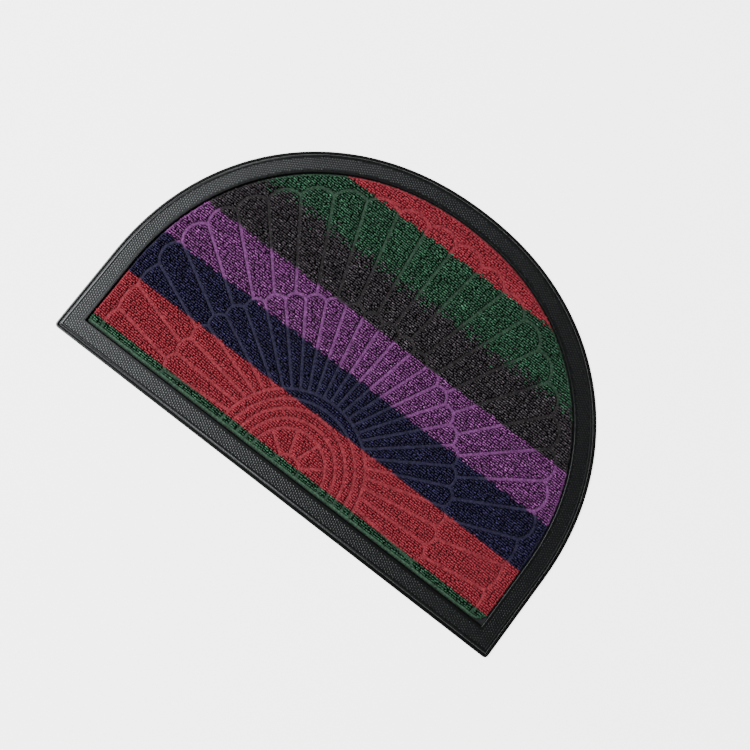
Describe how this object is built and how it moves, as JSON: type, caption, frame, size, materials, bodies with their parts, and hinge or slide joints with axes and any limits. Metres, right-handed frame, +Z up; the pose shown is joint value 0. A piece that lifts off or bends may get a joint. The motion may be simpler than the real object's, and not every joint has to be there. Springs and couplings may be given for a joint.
{
  "type": "doormat",
  "caption": "Half-moon doormat: a moulded rubber tray with a raised border holds a striped loop-pile carpet insert, pressed with a fan of petals round a ringed hub.",
  "frame": {"origin": "middle of the underside's bounding box, on the surface the mat lies on", "axes": "+X along the straight edge, +Y towards the curved edge, +Z up out of the pile"},
  "size_m": [0.6, 0.397, 0.0062],
  "materials": {
    "rubber": "moulded, finely knurled",
    "red_yarn": "loop pile",
    "navy_yarn": "loop pile",
    "purple_yarn": "loop pile",
    "charcoal_yarn": "loop pile",
    "green_yarn": "loop pile"
  },
  "bodies": {
    "root": {"rubber_base": "rubber", "pile_field": "red_yarn"}
  },
  "joints": []
}
